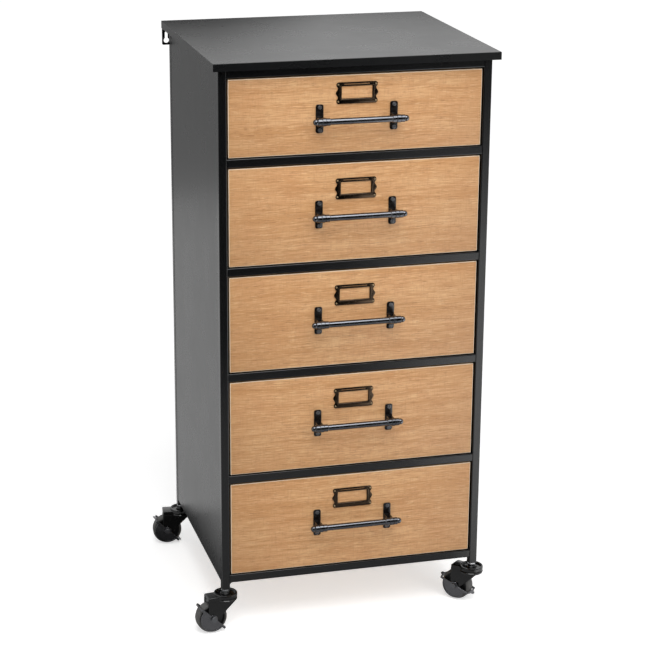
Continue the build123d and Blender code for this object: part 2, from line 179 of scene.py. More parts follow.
# patinated bronze plating: brown-black with warmer rubbed patches
patinaBronze = {
    "color": "#3b3129", "paler": "#4e4134", "cloud": 6, "grit": 0.9,
    "rough": (0.18, 0.28), "skin": 0.02, "metallic": 1.0,
}
# zinc plate on the nuts and stems: bright grey, slightly cloudy
zincPlate = {
    "color": "#b9bbbe", "paler": "#cfd0d2", "cloud": 4, "grit": 0.6,
    "rough": (0.22, 0.34), "skin": 0.05, "metallic": 1.0,
}
# nickelled pin heads of the label holders
nickelPin = {
    "color": "#8d7b60", "paler": "#b09d7c", "cloud": 2, "grit": 0.5,
    "rough": (0.3, 0.42), "skin": 0.04, "metallic": 1.0,
}
# gloss black dip paint on the stamped caster steel
dipPaint = {
    "color": "#060606", "paler": "#0b0b0c", "cloud": 12, "grit": 1.0,
    "rough": (0.09, 0.16), "skin": 0.04,
}
# phosphated spring steel of the brake levers: dark grey, dull metal
leverSteel = {
    "color": "#646467", "paler": "#767679", "cloud": 7, "grit": 0.8,
    "rough": (0.24, 0.34), "skin": 0.05, "metallic": 1.0,
}
# moulded nylon wheel core, fine matt mould skin
mouldedNylon = {
    "color": "#0c0c0d", "paler": "#131314", "cloud": 8, "grit": 0.7,
    "rough": (0.34, 0.46), "skin": 0.12,
}
# soft rubber tread: dusty dark grey
rubberTread = {
    "color": "#444342", "paler": "#555452", "cloud": 10, "grit": 0.9,
    "rough": (0.5, 0.65), "skin": 0.2,
}

# layers are (length along the grain, width across it) in mm; pores are drawn coarser than life to show
# tints are (layer, lowest and highest noise, share, tint)
# ends are painted shade towards the board's ends: (start and full distance from the middle in mm, share, tint)
frontTimber = {
    "color": "#d6a877", "edge": "#f0dcc0", "sway": 9, "swayLength": 170, "rough": (0.5, 0.68), "relief": 0.35,
    "layers": {
        "band": (240, 13), "fibre": (60, 1.7), "fleck": (22, 1.3), "pore": (13, 0.9), "saw": (2.2, 16),
        "patch": (90, 70),
    },
    "tints": [
        ("patch", 0.40, 0.66, 0.45, "#c98f5f"),
        ("band", 0.42, 0.62, 0.70, "#bf8a55"),
        ("fibre", 0.44, 0.66, 0.75, "#b07b49"),
        ("fleck", 0.54, 0.66, 0.55, "#ecc798"),
        ("saw", 0.50, 0.64, 0.24, "#ab7c52"),
        ("pore", 0.57, 0.68, 0.60, "#8a5d36"),
    ],
    # painted shade that darkens both ends of each front
    "ends": (70, 200, 0.28, "#8f6236"),
}
boxTimber = dict(
    frontTimber, color="#d2ad80", edge="#dcbd94", relief=0.15, ends=None,
    tints=[
        ("band", 0.40, 0.70, 0.6, "#c39a69"),
        ("fibre", 0.45, 0.75, 0.4, "#b98f5f"),
        ("pore", 0.60, 0.76, 0.35, "#9c7448"),
    ],
)

coats = {
    "frame_steel": coated("blackPowderCoat", blackPowder),
    "panel_steel": coated("blackPowderCoatSheet", sheetPowder),
    "front_wood": wooden("brushedTimber", frontTimber),
    "box_wood": wooden("sandedTimber", boxTimber),
    "handle_metal": coated("blackNickel", handleNickel),
    "label_bronze": coated("patinatedBronze", patinaBronze),
    "zinc_plate": coated("zincPlate", zincPlate),
    "caster_metal": coated("glossBlackDip", dipPaint),
    "caster_plastic": coated("mouldedNylon", mouldedNylon),
}
lacquered = coated("strapLacquer", strapLacquer)
nickel = coated("nickelPin", nickelPin)
blackened = coated("blackenedSteel", blackenedSteel)
tread = coated("rubberTread", rubberTread)
phosphated = coated("phosphatedSteel", leverSteel)
for part in frame["record"]["subparts"]:
    node = frame["nodes"][part["node"]]
    node.data.materials.clear()
    node.data.materials.append(coats[part["material_slot"]])
print("finishes made:", len(bpy.data.materials))


def arc(middle, radius, start, end, steps):
    # points of a circular arc, angles in degrees
    turns = [math.radians(start + (end - start) * i / steps) for i in range(steps + 1)]
    return [(middle[0] + radius * math.cos(t), middle[1] + radius * math.sin(t)) for t in turns]


def circle(radius, count, middle=(0, 0)):
    # closed ring of points, also the corners of a hexagon
    return arc(middle, radius, 0, 360 - 360 / count, count - 1)


def roundedRectangle(width, height, corner, middle=(0, 0)):
    points = []
    for i, (sx, sy) in enumerate(((1, 1), (-1, 1), (-1, -1), (1, -1))):
        center = (middle[0] + sx * (width / 2 - corner), middle[1] + sy * (height / 2 - corner))
        points += arc(center, corner, 90 * i, 90 * i + 90, 5)
    return points


def addPlate(bm, outlines, thickness, edge, place, finish=0):
    # flat plate from closed outlines in its own XY plane, from z = 0 up, with eased edges
    curve = bpy.data.curves.new("outline", "CURVE")
    curve.dimensions = "2D"
    curve.fill_mode = "BOTH"
    curve.extrude = (thickness / 2 - edge) * mm
    curve.bevel_depth = edge * mm
    curve.bevel_resolution = 2
    curve.offset = -edge * mm
    for points in outlines:
        spline = curve.splines.new("POLY")
        spline.points.add(len(points) - 1)
        for point, (x, y) in zip(spline.points, points):
            point.co = (x * mm, y * mm, 0, 1)
        spline.use_cyclic_u = True
    holder = bpy.data.objects.new("outline", curve)
    mesh = bpy.data.meshes.new_from_object(holder)
    mesh.transform(place @ Matrix.Translation((0, 0, thickness / 2 * mm)))
    mesh.polygons.foreach_set("material_index", [finish] * len(mesh.polygons))
    bm.from_mesh(mesh)
    bpy.data.objects.remove(holder)
    bpy.data.curves.remove(curve)
    bpy.data.meshes.remove(mesh)


def addTurned(bm, profile, place, steps=48, finishes=None):
    # solid turned about its own X axis from (along, radius) points
    rings = []
    for along, radius in profile:
        count = steps if radius else 1
        angles = [2 * math.pi * i / steps for i in range(count)]
        ring = [Vector((along, radius * math.cos(a), radius * math.sin(a))) for a in angles]
        rings.append([bm.verts.new(place @ (point * mm)) for point in ring])
    for k, (near, far) in enumerate(zip(rings, rings[1:])):
        for i in range(steps):
            j = (i + 1) % steps
            corners = [near[i % len(near)], near[j % len(near)], far[j % len(far)], far[i % len(far)]]
            face = bm.faces.new(list(dict.fromkeys(corners)))
            face.material_index = finishes[k] if finishes else 0


def addBoard(bm, low, high, edge, place=Matrix.Identity(4), segments=2):
    # box between two corners, with eased edges
    low, high = Vector(low), Vector(high)
    verts = bmesh.ops.create_cube(bm, size=1)["verts"]
    for vert in verts:
        vert.co = place @ (Vector([low[i] if vert.co[i] < 0 else high[i] for i in range(3)]) * mm)
    edges = list({e for v in verts for e in v.link_edges})
    eased = bmesh.ops.bevel(bm, geom=edges, offset=edge * mm, segments=segments, profile=0.5, affect="EDGES")
    return eased["faces"]


meshSettings = {"weld": 0.005, "sharp": 32}
drawerNumbers = range(1, 6)


def closedMesh(name, bm):
    # welds loose corners, turns the faces outward and shades all but the sharp edges smooth
    bmesh.ops.remove_doubles(bm, verts=bm.verts, dist=meshSettings["weld"] * mm)
    bmesh.ops.recalc_face_normals(bm, faces=bm.faces)
    mesh = bpy.data.meshes.new(name)
    bm.to_mesh(mesh)
    bm.free()
    mesh.polygons.foreach_set("use_smooth", [True] * len(mesh.polygons))
    mesh.set_sharp_from_angle(angle=math.radians(meshSettings["sharp"]))
    return mesh


def linked(name, data):
    item = bpy.data.objects.new(name, data)
    bpy.context.scene.collection.objects.link(item)
    return item


def handOver(name, mesh, body, node):
    # gives a finished piece to its body and hides the CAD node that it stands for
    piece = linked(name, mesh)
    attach(piece, body)
    if node:
        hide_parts(node)


def finishPiece(name, bm, finishes, body, node=None):
    mesh = closedMesh(name, bm)
    for finish in finishes:
        mesh.materials.append(finish)
    handOver(name, mesh, body, node)


# drawer fronts: boards with a sanded edge round the face
frontSettings = {"edge": 0.9, "segments": 3}
for number in drawerNumbers:
    low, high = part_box(f"drawer_{number}_front")
    bm = bmesh.new()
    sanded = bm.faces.layers.float.new("sanded")
    for face in addBoard(bm, low / mm, high / mm, frontSettings["edge"], segments=frontSettings["segments"]):
        face[sanded] = 1
    finishPiece(f"drawer{number}Front", bm, [coats["front_wood"]], f"drawer_{number}",
                f"drawer_{number}_front")
print("drawer fronts made")

# drawer boxes: two sides, a back and a bottom that runs between them
boxSettings = {"board": 10, "bottom": 4, "lift": 6, "joint": 0.05, "edge": 0.7}
for number in drawerNumbers:
    low, high = [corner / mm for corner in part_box(f"drawer_{number}_box")]
    board, joint = boxSettings["board"], boxSettings["joint"]
    inside = (low.x + board + joint, high.x - board - joint, high.y - board - joint)
    shelf = low.z + boxSettings["lift"]
    bm = bmesh.new()
    addBoard(bm, low, (low.x + board, high.y, high.z), boxSettings["edge"])
    addBoard(bm, (high.x - board, low.y, low.z), high, boxSettings["edge"])
    addBoard(bm, (inside[0], high.y - board, low.z), (inside[1], high.y, high.z), boxSettings["edge"])
    addBoard(bm, (inside[0], low.y, shelf), (inside[1], inside[2], shelf + boxSettings["bottom"]),
             boxSettings["edge"])
    finishPiece(f"drawer{number}Box", bm, [coats["box_wood"]], f"drawer_{number}",
                f"drawer_{number}_box")
print("drawer boxes made")

# handles: a turned bar in the collars of two strap brackets
handleSettings = {
    "spacing": 117, "barRadius": 4.9, "sleeveRadius": 5.9, "sleeveLength": 20,
    "collarRadius": 6.4, "collarLength": 5.6, "collarEdge": 0.4, "neckRadius": 3.4, "neckLength": 1.0,
    "grooveDepth": 0.7, "grooveMouth": 0.9, "grooveFar": 0.6, "grooveNear": 0.1,
    "plateWidth": 12, "plateHeight": 44, "plateThickness": 2, "plateCorner": 3, "edge": 0.5,
    "armWidth": 9, "armHeight": 10, "armEdge": 0.8, "armGap": 2, "armStep": 1,
    "heelLength": 3.2, "heelFlare": 0.6, "heelEdge": 0.9, "seat": 0.5,
}
for number in drawerNumbers:
    s = handleSettings
    low, high = [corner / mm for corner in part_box(f"drawer_{number}_handle")]
    standoff = high.y - low.y - s["collarRadius"]
    tip = high.x
    place = Matrix.Translation(Vector((0, high.y, (low.z + high.z) / 2)) * mm)
    collar = (s["spacing"] - s["collarLength"]) / 2, (s["spacing"] + s["collarLength"]) / 2
    sleeve = (s["spacing"] - s["sleeveLength"]) / 2, (s["spacing"] + s["sleeveLength"]) / 2
    groove = s["sleeveRadius"] - s["grooveDepth"]
    edge, mouth, far, near = s["collarEdge"], s["grooveMouth"], s["grooveFar"], s["grooveNear"]
    # the plain offsets round off both ends of the sleeve
    half = [(sleeve[0] - 0.4, s["barRadius"]), (sleeve[0], s["barRadius"] + 0.3)]
    half += [(sleeve[0] + 0.6, s["sleeveRadius"])]
    half += [(collar[0] - mouth, s["sleeveRadius"]), (collar[0] - far, groove), (collar[0] - near, groove)]
    half += [(collar[0], s["collarRadius"] - edge), (collar[0] + edge, s["collarRadius"])]
    half += [(collar[1] - edge, s["collarRadius"]), (collar[1], s["collarRadius"] - edge)]
    half += [(collar[1] + near, groove), (collar[1] + far, groove), (collar[1] + mouth, s["sleeveRadius"])]
    half += [(sleeve[1] - 0.8, s["sleeveRadius"]), (sleeve[1] - 0.2, s["sleeveRadius"] - 0.5)]
    half += [(sleeve[1], s["neckRadius"]), (sleeve[1] + s["neckLength"], s["neckRadius"])]
    dome = arc((tip - s["barRadius"], 0), s["barRadius"], 125, 0, 11)
    half += [*dome[:-1], (tip, 0)]
    profile = [(-x, r) for x, r in reversed(half)] + half
    bm = bmesh.new()
    for sign in (-1, 1):
        bracket = place @ Matrix.Translation((sign * s["spacing"] / 2 * mm, 0, 0))
        upright = bracket @ Matrix.Rotation(math.radians(90), 4, "X")
        plate = roundedRectangle(s["plateWidth"], s["plateHeight"], s["plateCorner"])
        addPlate(bm, [plate], s["plateThickness"], s["edge"], upright)
        reach, width, height = -standoff + s["armGap"], s["armWidth"] / 2, s["armHeight"] / 2
        slim, flared = height - s["armStep"], width + s["heelFlare"]
        heel = -s["plateThickness"] - s["heelLength"]
        addBoard(bm, (-width, reach, -slim), (width, -s["seat"], slim), s["armEdge"], bracket)
        addBoard(bm, (-flared, heel, -height), (flared, -s["seat"], height), s["heelEdge"], bracket)
    for face in bm.faces:
        face.material_index = 1  # straps are lacquered, the bar that follows is not
    addTurned(bm, profile, place @ Matrix.Translation((0, -standoff * mm, 0)), steps=40)
    finishPiece(f"drawer{number}Handle", bm, [coats["handle_metal"], lacquered], f"drawer_{number}",
                f"drawer_{number}_handle")
print("handles made")

# label holders: scalloped plate, half-round rib on three sides of the window, card slot in the upper band
labelSettings = {
    "plate": 1.6, "edge": 0.5, "corner": 3.6, "ear": 1, "earStart": 11.6,
    "notch": 3.2, "notchMiddle": 7.2, "notchSteps": 8,
    "windowWidth": 48, "windowHeight": 18.5, "windowRise": 1, "windowCorner": 0.8,
    "slotWidth": 40, "slotHeight": 1.2, "slotCorner": 0.5,
    "ribRadius": 1.75, "ribHeight": 1.05,
}
for number in drawerNumbers:
    s = labelSettings
    low, high = [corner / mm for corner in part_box(f"drawer_{number}_label_holder")]
    halfWidth, halfHeight = high.x, (high.z - low.z) / 2
    place = Matrix.Translation(Vector((0, high.y, low.z + halfHeight)) * mm)
    upright = place @ Matrix.Rotation(math.radians(90), 4, "X")
    rise = []
    for i in range(s["notchSteps"]):
        swell = (1 + math.cos(math.pi * i / s["notchSteps"])) / 2
        rise.append((halfWidth - s["notch"] * (1 - swell), s["notchMiddle"] * i / s["notchSteps"]))
    for i in range(s["notchSteps"]):
        swell = (1 - math.cos(math.pi * i / s["notchSteps"])) / 2
        height = s["notchMiddle"] + (s["earStart"] - s["notchMiddle"]) * i / s["notchSteps"]
        rise.append((halfWidth - s["notch"] + (s["notch"] - s["ear"]) * swell, height))
    rise += arc((halfWidth - s["ear"] - s["corner"], halfHeight - s["corner"]), s["corner"], 0, 90, 6)
    side = [(x, -z) for x, z in reversed(rise[1:])] + rise
    outline = side + [(-x, z) for x, z in reversed(side)]
    window = roundedRectangle(s["windowWidth"], s["windowHeight"], s["windowCorner"], (0, s["windowRise"]))
    windowTop = s["windowRise"] + s["windowHeight"] / 2
    slotMiddle = (0, (windowTop + halfHeight) / 2)
    slot = roundedRectangle(s["slotWidth"], s["slotHeight"], s["slotCorner"], slotMiddle)
    bm = bmesh.new()
    addPlate(bm, [outline, window, slot], s["plate"], s["edge"], upright)
    ribX, ribLow = s["windowWidth"] / 2 + s["ribRadius"], windowTop - s["windowHeight"] - s["ribRadius"]
    turns = [(-ribX, windowTop), (-ribX, ribLow), (ribX, ribLow), (ribX, windowTop)]
    turns = [Vector((x, -s["ribHeight"], z)) for x, z in turns]
    for start, end in zip(turns, turns[1:]):
        lie = (end - start).to_track_quat("X", "Z").to_matrix().to_4x4()
        span = (end - start).length
        ends = arc((span, 0), s["ribRadius"], 90, 0, 6)
        rod = [(span - x, r) for x, r in reversed(ends)][1:-1] + ends[:-1]
        rib = [(-s["ribRadius"], 0), *rod, (span + s["ribRadius"], 0)]
        addTurned(bm, rib, place @ Matrix.Translation(start * mm) @ lie, steps=20)
    finishPiece(f"drawer{number}LabelHolder", bm, [coats["label_bronze"]], f"drawer_{number}",
                f"drawer_{number}_label_holder")
print("label holders made")


def fastenerGrid():
    # node tree: one fastener on each corner of a grid
    tree = bpy.data.node_groups.new("fastenerGrid", "GeometryNodeTree")
    tree.is_modifier = True
    tree.interface.new_socket("Geometry", in_out="OUTPUT", socket_type="NodeSocketGeometry")
    sockets = {"Width": "Float", "Height": "Float", "Middle": "Vector", "Turn": "Vector",
               "Fastener": "Object", "Finish": "Material"}
    for name, kind in sockets.items():
        tree.interface.new_socket(name, in_out="INPUT", socket_type="NodeSocket" + kind)
    given = addNode(tree, "NodeGroupInput").outputs
    grid = addNode(tree, "GeometryNodeMeshGrid", {"Vertices X": 2, "Vertices Y": 2},
                   {"Size X": given["Width"], "Size Y": given["Height"]})
    stood = addNode(tree, "GeometryNodeTransform", None,
                    {"Geometry": grid.outputs["Mesh"], "Translation": given["Middle"],
                     "Rotation": given["Turn"]})
    sample = addNode(tree, "GeometryNodeObjectInfo", None, {"Object": given["Fastener"]})
    copies = addNode(tree, "GeometryNodeInstanceOnPoints", None,
                     {"Points": stood.outputs["Geometry"], "Instance": sample.outputs["Geometry"]})
    real = addNode(tree, "GeometryNodeRealizeInstances", None, {"Geometry": copies.outputs["Instances"]})
    dressed = addNode(tree, "GeometryNodeSetMaterial", None,
                      {"Geometry": real.outputs["Geometry"], "Material": given["Finish"]})
    addNode(tree, "NodeGroupOutput", None, {"Geometry": dressed.outputs["Geometry"]})
    return tree


fasteners = fastenerGrid()


def fastenerPiece(name, inputs, body, node=None):
    # grid of fasteners turned into one plain mesh for its body
    carrier = linked(name + "Carrier", bpy.data.meshes.new(name + "Carrier"))
    grid = carrier.modifiers.new("fasteners", "NODES")
    grid.node_group = fasteners
    items = fasteners.interface.items_tree
    identifiers = {item.name: item.identifier for item in items if item.in_out == "INPUT"}
    for key, value in inputs.items():
        grid[identifiers[key]] = value
    depsgraph = bpy.context.evaluated_depsgraph_get()
    mesh = bpy.data.meshes.new_from_object(carrier.evaluated_get(depsgraph), depsgraph=depsgraph)
    carrier.modifiers.remove(grid)
    bpy.data.objects.remove(carrier)
    mesh.name = name
    handOver(name, mesh, body, node)


# loose samples that the node tree copies: handle screws with a cross recess, label pins with a domed head
screwSettings = {
    "headRadius": 3, "head": 1.4, "shank": 1.5, "depth": 9, "crossReach": 1.7, "crossWidth": 0.7, "pitch": 35,
    "lowEdge": 0.15, "topEdge": 0.34, "topInset": 0.1, "sink": 0.2,
}
pinSettings = {"headRadius": 1.5, "head": 1.0, "shank": 0.8, "depth": 7, "inset": 3.6}
outward = Matrix.Rotation(math.radians(-90), 4, "Z")  # local +X of a turned piece points to -Y
upright = Matrix.Rotation(math.radians(90), 4, "X")
s = screwSettings
reach, width = s["crossReach"], s["crossWidth"] / 2
cross = [(reach, -width), (reach, width), (width, width), (width, reach)]
cross += [(-width, reach), (-width, width), (-reach, width), (-reach, -width)]
cross += [(-width, -width), (-width, -reach), (width, -reach), (width, -width)]
bm = bmesh.new()
addPlate(bm, [circle(s["headRadius"], 32)], s["head"] / 2, s["lowEdge"], upright)
addPlate(bm, [circle(s["headRadius"] - s["topInset"], 32), cross], s["head"] / 2, s["topEdge"],
         upright @ Matrix.Translation((0, 0, s["head"] / 2 * mm)))
shankLength = s["depth"] + handleSettings["plateThickness"]
shank = [(-shankLength, 0), (-shankLength, s["shank"]), (s["sink"], s["shank"]), (s["sink"], 0)]
addTurned(bm, shank, outward, steps=16)
screw = linked("handleScrew", closedMesh("handleScrew", bm))
s = pinSettings
bm = bmesh.new()
pinLength = s["depth"] + labelSettings["plate"]
slopes = [math.radians(a) for a in range(0, 90, 15)]
dome = [(s["head"] * math.sin(a), s["headRadius"] * math.cos(a)) for a in slopes]
shank = [(-pinLength, 0), (-pinLength, s["shank"]), (0, s["shank"])]
addTurned(bm, [*shank, *dome, (s["head"], 0)], outward, steps=20)
pin = linked("labelPin", closedMesh("labelPin", bm))
for number in drawerNumbers:
    low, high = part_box(f"drawer_{number}_handle")
    screwY = high.y - handleSettings["plateThickness"] * mm
    fastenerPiece(f"drawer{number}HandleScrews", {
        "Width": handleSettings["spacing"] * mm, "Height": screwSettings["pitch"] * mm,
        "Middle": (0, screwY, (low.z + high.z) / 2), "Turn": (math.radians(90), 0, 0), "Fastener": screw,
        "Finish": blackened}, f"drawer_{number}", f"drawer_{number}_fasteners")
    low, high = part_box(f"drawer_{number}_label_holder")
    inset = 2 * pinSettings["inset"] * mm
    fastenerPiece(f"drawer{number}LabelPins", {
        "Width": high.x - low.x - inset, "Height": high.z - low.z - inset,
        "Middle": (0, high.y - labelSettings["plate"] * mm, (low.z + high.z) / 2),
        "Turn": (math.radians(90), 0, 0), "Fastener": pin, "Finish": nickel},
        f"drawer_{number}")

# caster stems: threaded shank with a chamfered nut under the foot and a rivet head under the crown
stemSettings = {
    "radius": 4, "tipChamfer": 1, "nutWidth": 12, "nutHeight": 6, "nutEdge": 0.7, "nutOverlap": 0.2,
    "rivetRadius": 6.5, "rivet": 2.5, "rivetChamfer": 0.8,
}
joints = {joint["name"]: joint for joint in frame["joints"]}
s = stemSettings
low, high = [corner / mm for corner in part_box("caster_stems")]
foot = joints["front_left_swivel"]["pos_m"][2] / mm
upward = Matrix.Rotation(math.radians(-90), 4, "Y")  # local +X of a turned piece points up
bm = bmesh.new()
rivet = [(low.z, 0), (low.z, s["rivetRadius"] - s["rivetChamfer"])]
rivet += [(low.z + s["rivetChamfer"], s["rivetRadius"]), (low.z + s["rivet"], s["rivetRadius"])]
shank = [(low.z + s["rivet"], s["radius"]), (high.z - s["tipChamfer"], s["radius"])]
shank += [(high.z, s["radius"] - s["tipChamfer"]), (high.z, 0)]
addTurned(bm, rivet + shank, upward, steps=32)
nut = [circle(s["nutWidth"] / math.sqrt(3), 6), circle(s["radius"] - s["nutOverlap"], 32)]
addPlate(bm, nut, s["nutHeight"], s["nutEdge"], Matrix.Translation((0, 0, (foot - s["nutHeight"]) * mm)))
stem = linked("casterStem", closedMesh("casterStem", bm))
corners = [Vector(joints[f"{name}_swivel"]["pos_m"]) for name in ("front_left", "rear_right")]
middle = (corners[0] + corners[1]) / 2
fastenerPiece("casterStems", {
    "Width": corners[1].x - corners[0].x, "Height": corners[1].y - corners[0].y,
    "Middle": (middle.x, middle.y, 0), "Turn": (0, 0, 0), "Fastener": stem,
    "Finish": coats["zinc_plate"]}, "carcass", "caster_stems")
for sample in (screw, pin, stem):
    bpy.data.objects.remove(sample)
print("screws, pins and stems made")

# casters: stamped fork with a dished swivel head, moulded wheel, hexagon axle bolt and a rocking brake lever;
# each corner has the name of its joints and the lever's tilt at rest in degrees
casterSettings = {
    "fl": ("front_left", 44), "fr": ("front_right", 20), "rl": ("rear_left", 44), "rr": ("rear_right", 44),
}
forkSettings = {
    "crownBottom": 52, "crownTop": 55, "headTop": 63.7, "headRadius": 19, "bore": 4.4, "hubRadius": 8.6,
    "dishRadius": 15.5, "dish": 3, "hood": 6.2, "legInner": 9.8, "leg": 2, "back": 14, "boss": 7.5,
    "axleBore": 3.05, "web": 2, "webEdge": 0.4, "webOverlap": 0.5, "wheelGap": 27, "edge": 0.5,
    "hoodEdge": 1.6, "hoodSegments": 4, "skirtStart": 2, "skirtProud": 0.01, "skirtDrop": 0.4,
}


def forkMesh(trail, wheelRadius):
    # local frame: X along the trail, Z up, origin on the floor under the stem
    s = forkSettings
    bm = bmesh.new()
    bottom, top, rim = s["crownBottom"], s["headTop"], s["headRadius"]
    dish, floorZ = s["dishRadius"], s["headTop"] - s["dish"]
    # swivel head from below: groove round the rim, dish and raised hub; the plain offsets round off its edges
    profile = [(bottom, s["bore"]), (bottom, rim - 1.4), (bottom + 0.5, rim - 0.4), (bottom + 1.4, rim)]
    profile += [(bottom + 2.8, rim), (bottom + 4.8, rim - 2), (bottom + 5.3, rim - 2), (bottom + 5.6, rim)]
    profile += [(top - 1.5, rim), (top - 0.5, rim - 0.4), (top, rim - 1.3)]
    profile += [(top - 0.3, dish + 0.7), (top - 1.2, dish)]
    hub = s["hubRadius"]
    profile += [(floorZ + 0.6, dish - 0.3), (floorZ, dish - 1), (floorZ, hub + 0.8), (floorZ + 0.5, hub)]
    profile += [(top - 0.5, hub - 0.3), (top, hub - 0.9), (top, s["bore"]), (bottom, s["bore"])]
    addTurned(bm, profile, upward, steps=56)
    outer = s["legInner"] + s["leg"]
    end = trail + s["boss"]
    hoodTop, proud = s["crownTop"] + s["hood"], s["skirtProud"]
    addBoard(bm, (0, -outer, bottom), (end, outer, hoodTop), s["hoodEdge"], segments=s["hoodSegments"])
    skirtEnd = (end + proud, outer + proud, s["crownTop"] - s["skirtDrop"])
    addBoard(bm, (s["skirtStart"], -outer - proud, bottom), skirtEnd, s["edge"])
    heel = Vector((-s["back"], bottom))
    away = heel - Vector((trail, wheelRadius))
    tangent = math.degrees(math.atan2(away.y, away.x)) + math.degrees(math.acos(s["boss"] / away.length))
    boss = arc((trail, wheelRadius), s["boss"], 0, tangent - 360, 16)
    leg = [(-s["back"], s["crownTop"]), (end, s["crownTop"]), *boss, tuple(heel)]
    hole = circle(s["axleBore"], 24, (trail, wheelRadius))
    for side in (-outer, s["legInner"]):
        stand = Matrix.Translation((0, (side + s["leg"]) * mm, 0)) @ upright
        addPlate(bm, [leg, hole], s["leg"], s["edge"], stand)
    # web between the legs, down the sloping front edge to where the wheel passes
    foot = Vector(boss[-1])
    slope = (heel - foot).normalized()
    reach = (heel - foot).length
    start = math.sqrt(s["wheelGap"] ** 2 - s["boss"] ** 2)
    lean = Matrix.Rotation(-math.atan2(slope.y, slope.x), 4, "Y")
    lie = Matrix.Translation(Vector((foot.x, 0, foot.y)) * mm) @ lean
    webSide = s["legInner"] + s["webOverlap"]
    addBoard(bm, (start, -webSide, -s["web"]), (reach, webSide, 0), s["webEdge"], lie)
    return bm


wheelSettings = {
    "radius": 25, "halfWidth": 9, "hubRadius": 7.5, "hubProud": 0.5, "rimRadius": 19, "recess": 3,
    "bore": 3.05,
}


def wheelMesh(place):
    s = wheelSettings
    bm = bmesh.new()
    face, proud = s["halfWidth"], s["halfWidth"] + s["hubProud"]
    floorX, rim, tire = s["halfWidth"] - s["recess"], s["rimRadius"], s["radius"]
    hub = s["hubRadius"]
    # one half from the bore to the tread; the plain offsets round off its edges
    half = [(proud, s["bore"]), (proud, hub - 0.6), (proud - 0.5, hub), (floorX + 0.4, hub)]
    half += [(floorX, hub + 0.6), (floorX, rim - 0.6), (floorX + 0.5, rim), (face - 0.5, rim + 0.2)]
    half += [(face, rim + 0.7), (face, rim + 1.8), (face - 0.5, rim + 2.1)]
    core = len(half)  # the tyre starts here
    half += [(face - 0.1, rim + 2.5), (face - 0.1, tire - 2.6), (face - 0.8, tire - 1.3)]
    half += [(face - 2.2, tire - 0.4), (face - 4, tire)]
    profile = half + [(-x, r) for x, r in reversed(half)] + [half[0]]
    count = len(half)
    finishes = [1 if core - 1 <= k < 2 * count - core else 0 for k in range(len(profile) - 1)]
    addTurned(bm, profile, place @ Matrix.Rotation(math.radians(90), 4, "Z"), steps=64, finishes=finishes)
    return bm


leverSettings = {
    "inner": 12.1, "sheet": 1.5, "dish": 0.6, "rim": 2, "radius": 21.5, "shoulder": 2.2, "boss": 6.8,
    "end": 27.2, "wing": 1.6, "fieldTop": -0.8, "armStart": 20, "armInner": 9.6, "bridgeStart": 25.6,
    "bridge": 1.5, "taper": 30, "tip": 33.5, "tipCorner": 3.2, "tongueWidth": 8, "tongueEdge": 0.4,
    "tongueInset": 0.3, "cornerLength": 1, "cornerDrop": 0.7, "humpRise": 0.8, "humpFoot": 2.5,
    "humpRim": 1.2, "humpTurn": 20, "fieldDip": 8, "fieldInset": 1, "fieldHump": 1.5,
    "floorEdge": 0.3, "rimEdge": 0.28,
}


def leverMesh(place):
    # two dished half-round cheeks with a hump over the bolt, joined past the wheel by bridges
    # that taper into foot tongues
    s = leverSettings
    bm = bmesh.new()
    end, wing, top, boss = s["end"], s["wing"], s["shoulder"], s["boss"]
    hump = math.degrees(math.asin((top + s["humpRise"]) / boss))
    dip = math.degrees(math.asin(wing / s["radius"]))
    below = arc((0, 0), s["radius"], 180 + dip, 360 - dip, 28)
    over = arc((0, 0), boss, hump, 180 - hump, 10)
    cut, drop, rise = s["cornerLength"], top - s["cornerDrop"], boss + s["humpFoot"]
    cheek = [(end, -wing), (end, drop), (end - cut, top), (rise, top), *over]
    cheek += [(-rise, top), (cut - end, top), (-end, drop), (-end, -wing), *below]
    outer = s["inner"] + s["sheet"]
    field, fieldTop = s["radius"] - s["rim"], s["fieldTop"]
    inset, start, slant = s["fieldInset"], boss + s["fieldHump"], s["fieldDip"]
    hollow = arc((0, 0), field, 180 + slant, 360 - slant, 24) + [(field - inset, fieldTop), (start, fieldTop)]
    hollow += arc((0, 0), boss + s["humpRim"], -s["humpTurn"], s["humpTurn"] - 180, 10)
    hollow += [(-start, fieldTop), (inset - field, fieldTop)]
    thin = s["sheet"] - s["dish"]
    for low, rim in ((-s["inner"] - thin, -outer), (s["inner"], s["inner"] + thin)):
        floorPlace = place @ Matrix.Translation((0, (low + thin) * mm, 0)) @ upright
        rimPlace = place @ Matrix.Translation((0, (rim + s["dish"]) * mm, 0)) @ upright
        addPlate(bm, [cheek], thin, s["floorEdge"], floorPlace)
        addPlate(bm, [cheek, hollow], s["dish"], s["rimEdge"], rimPlace)
    tab, corner, straight = s["tongueWidth"] / 2, s["tipCorner"], s["tip"] - s["tipCorner"]
    flank, sunk = outer - s["tongueInset"], place @ Matrix.Translation((0, 0, -s["sheet"] / 2 * mm))
    for sign in (-1, 1):
        half = [(s["bridgeStart"], s["armInner"]), (s["armStart"], s["armInner"])]
        half += [(s["armStart"], flank), (s["bridgeStart"] + s["bridge"], flank), (s["taper"], tab)]
        half += [(straight, tab)] + arc((straight, tab - corner), corner, 90, 0, 6)[1:]
        tongue = [(sign * x, y) for x, y in half] + [(sign * x, -y) for x, y in reversed(half)]
        addPlate(bm, [tongue], s["sheet"], s["tongueEdge"], sunk)
    return bm


boltSettings = {"radius": 3, "seat": 13.9, "head": 3, "width": 9, "headEdge": 0.6}


